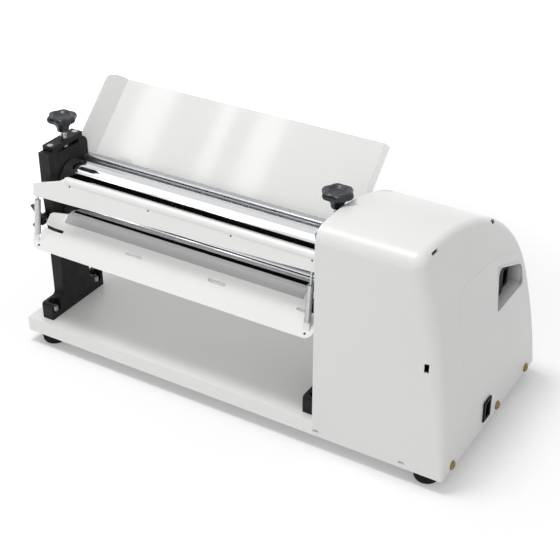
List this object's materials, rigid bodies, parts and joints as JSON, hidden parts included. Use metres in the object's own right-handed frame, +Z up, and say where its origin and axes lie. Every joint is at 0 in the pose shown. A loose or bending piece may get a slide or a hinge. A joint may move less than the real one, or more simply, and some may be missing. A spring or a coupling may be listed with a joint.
{
  "type": "tabletop dough sheeter",
  "caption": "Motor-driven tabletop dough sheeter: paired chrome rollers between cast frames, a sloping infeed tray, a tipping front guard with chute and a moulded motor cover.",
  "frame": {"origin": "centre of the outer box on the floor under the feet", "axes": "+X along the rollers towards the motor cover, +Y from the front guard to the infeed tray, +Z up"},
  "size_m": [0.734, 0.34, 0.3887],
  "materials": {
    "white_enamel": "smooth white powder coat",
    "white_cover": "satin white moulded shell",
    "white_tray": "glossy white enamel",
    "black_casting": "black painted casting",
    "chrome": "polished chrome plate",
    "steel": "bright turned steel",
    "bronze": "oiled bronze",
    "black_plastic": "black moulded plastic",
    "rubber": "black rubber",
    "yellow_zinc": "yellow zinc plate",
    "aluminium": "die-cast aluminium",
    "motor_paint": "dark grey paint",
    "green_button": "green moulded cap",
    "red_button": "red moulded cap",
    "brass_pins": "plated contact pins"
  },
  "bodies": {
    "base": {"base_tray": "white_enamel", "rubber_feet": "rubber", "foot_studs": "steel", "left_frame": "black_casting", "right_frame": "black_casting", "frame_bolts": "steel", "left_bridge": "black_casting", "right_bridge": "black_casting", "bridge_screws": "steel", "lower_bushes": "bronze", "gearbox": "aluminium", "motor_stand": "steel", "motor_body": "motor_paint", "motor_end_bell": "aluminium", "run_capacitor": "black_plastic", "pivot_pin": "steel", "infeed_tray": "white_tray", "rear_guard": "steel", "motor_cover": "white_cover", "switch_pocket": "white_cover", "side_panel": "white_enamel", "cover_screws": "yellow_zinc", "switch_plate": "black_plastic", "mains_inlet": "black_plastic", "inlet_pins": "brass_pins"},
    "lower_roller": {"lower_roller": "chrome", "lower_gear": "steel", "lower_gear_clip": "steel"},
    "carriage": {"left_bearing_block": "black_casting", "right_bearing_block": "black_casting", "upper_bushes": "bronze"},
    "upper_roller": {"upper_roller": "chrome", "upper_gear": "steel", "upper_gear_clip": "steel"},
    "left_adjuster": {"left_spindle": "steel", "left_knob": "black_plastic"},
    "right_adjuster": {"right_spindle": "steel", "right_knob": "black_plastic"},
    "drive": {"drive_pinion": "steel", "pinion_clip": "steel", "output_shaft": "steel"},
    "front_guard": {"guard_bar": "white_enamel", "guard_rods": "steel", "guard_arms": "black_casting", "chute": "white_enamel", "lower_scraper": "steel"},
    "guard_clamp": {"clamp_knob": "black_plastic", "clamp_stud": "steel"},
    "stop_button": {"stop_button": "red_button"},
    "start_button": {"start_button": "green_button"}
  },
  "joints": [
    {"name": "lower_roller_spin", "type": "hinge", "parent": "base", "child": "lower_roller", "pos_m": [-0.095, -0.082, 0.211], "axis": [1, 0, 0], "continuous": true},
    {"name": "roller_gap", "type": "slide", "parent": "base", "child": "carriage", "axis": [0, 0, 1], "range_m": [0, 0.005]},
    {"name": "upper_roller_spin", "type": "hinge", "parent": "carriage", "child": "upper_roller", "pos_m": [-0.095, -0.082, 0.2715], "axis": [1, 0, 0], "continuous": true},
    {"name": "left_adjuster_turn", "type": "hinge", "parent": "carriage", "child": "left_adjuster", "pos_m": [-0.3325, -0.082, 0.335], "axis": [0, 0, 1], "range_deg": [0, 1200.1]},
    {"name": "right_adjuster_turn", "type": "hinge", "parent": "carriage", "child": "right_adjuster", "pos_m": [0.1435, -0.082, 0.335], "axis": [0, 0, 1], "range_deg": [0, 1200.1]},
    {"name": "drive_spin", "type": "hinge", "parent": "base", "child": "drive", "pos_m": [0.176, -0.01927, 0.18502], "axis": [1, 0, 0], "continuous": true},
    {"name": "guard_tip", "type": "hinge", "parent": "base", "child": "front_guard", "pos_m": [-0.095, -0.136, 0.218], "axis": [1, 0, 0], "range_deg": [0, 30]},
    {"name": "clamp_turn", "type": "hinge", "parent": "base", "child": "guard_clamp", "pos_m": [-0.345, -0.136, 0.218], "axis": [1, 0, 0], "range_deg": [0, 720]},
    {"name": "stop_press", "type": "slide", "parent": "base", "child": "stop_button", "axis": [-1, 0, 0], "range_m": [0, 0.003], "stiffness_N_per_m": 800},
    {"name": "start_press", "type": "slide", "parent": "base", "child": "start_button", "axis": [-1, 0, 0], "range_m": [0, 0.003], "stiffness_N_per_m": 800}
  ],
  "couplings": [
    {"joint": "upper_roller_spin", "follows": "lower_roller_spin", "ratio": -1},
    {"joint": "drive_spin", "follows": "lower_roller_spin", "ratio": -0.8},
    {"joint": "left_adjuster_turn", "follows": "roller_gap", "rad_per_m": 4188.8},
    {"joint": "right_adjuster_turn", "follows": "roller_gap", "rad_per_m": 4188.8}
  ]
}
